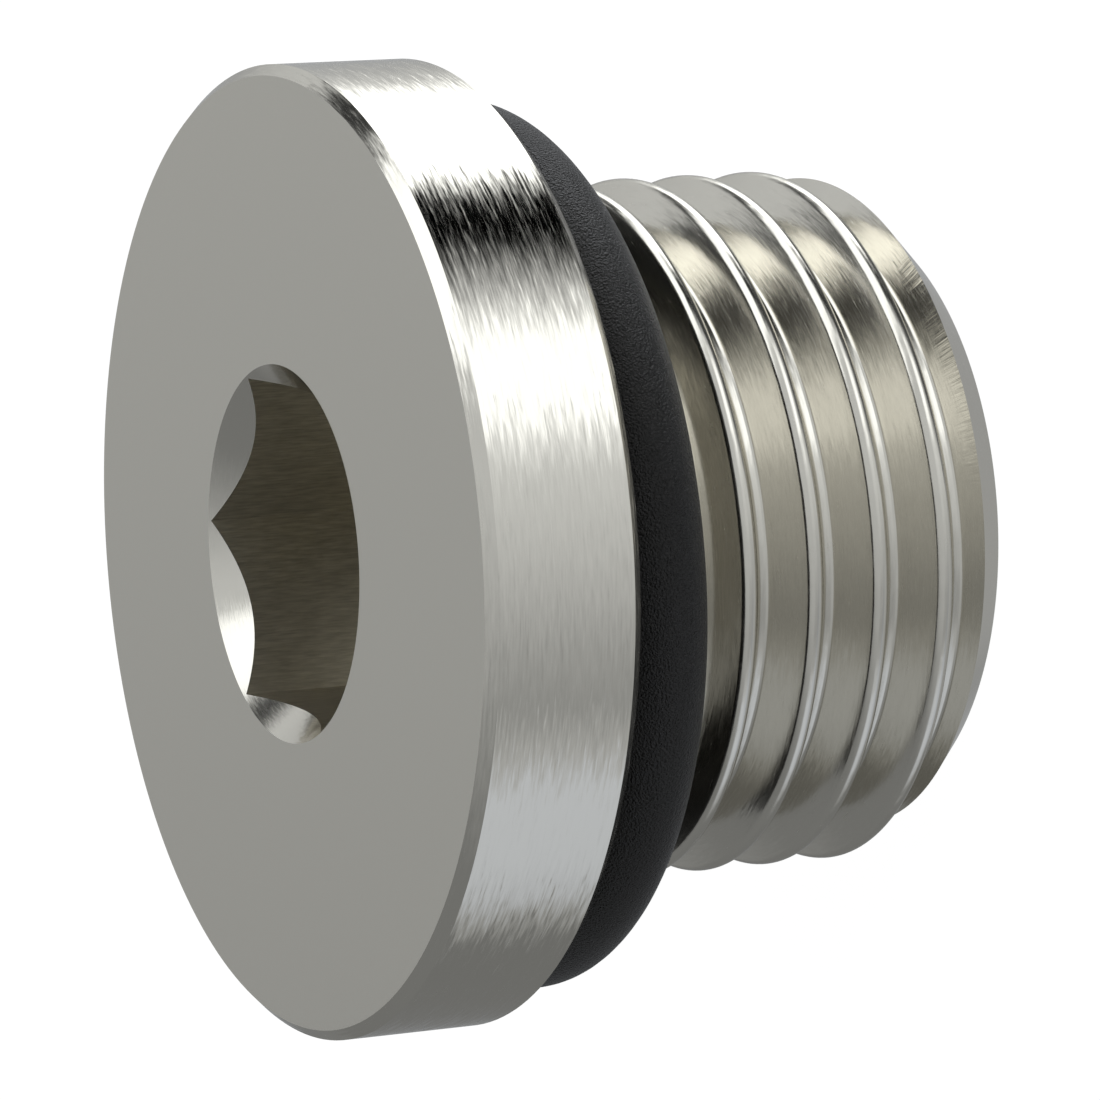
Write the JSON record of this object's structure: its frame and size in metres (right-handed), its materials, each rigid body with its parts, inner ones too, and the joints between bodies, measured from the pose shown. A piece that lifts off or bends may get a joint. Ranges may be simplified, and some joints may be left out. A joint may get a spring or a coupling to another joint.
{
  "type": "hex socket plug",
  "caption": "Screw-in sealing plug: round flat head with a hexagon socket, rubber ring under the head, short straight pipe thread with a chamfered end.",
  "frame": {"origin": "centre of the tail's end face, on which the plug stands", "axes": "+Z along the plug's axis from the tail to the socket; +X towards the side where the sealing ring touches the head"},
  "size_m": [0.018, 0.018, 0.012],
  "materials": {
    "steel": "fine-turned, satin",
    "rubber": "fine-grained, matt"
  },
  "bodies": {
    "root": {"plug_body": "steel", "o_ring": "rubber"}
  },
  "joints": []
}
